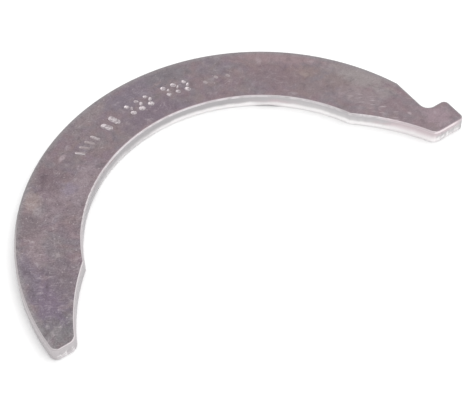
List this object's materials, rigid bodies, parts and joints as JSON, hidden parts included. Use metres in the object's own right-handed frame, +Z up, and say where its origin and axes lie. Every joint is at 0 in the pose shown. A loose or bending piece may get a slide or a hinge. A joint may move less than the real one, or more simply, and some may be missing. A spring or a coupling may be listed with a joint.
{
  "type": "thrust washer",
  "caption": "Flat half-ring thrust washer blanked from steel strip, with a locating tab at an end, relieved bore ends, rolled edges and oil grooves on the running face.",
  "frame": {"origin": "on the shaft's axis, at the plane of the lower face on which the washer lies", "axes": "+Z up through the thickness along the shaft's axis, +X towards the end with the locating tab, +Y towards the crown of the half ring"},
  "size_m": [0.1017, 0.0503, 0.0032],
  "materials": {
    "steel": "matt grey blanked steel with cloudy stains, fine scratches and bright rolled edges"
  },
  "bodies": {
    "root": {"thrust_washer": "steel"}
  },
  "joints": []
}
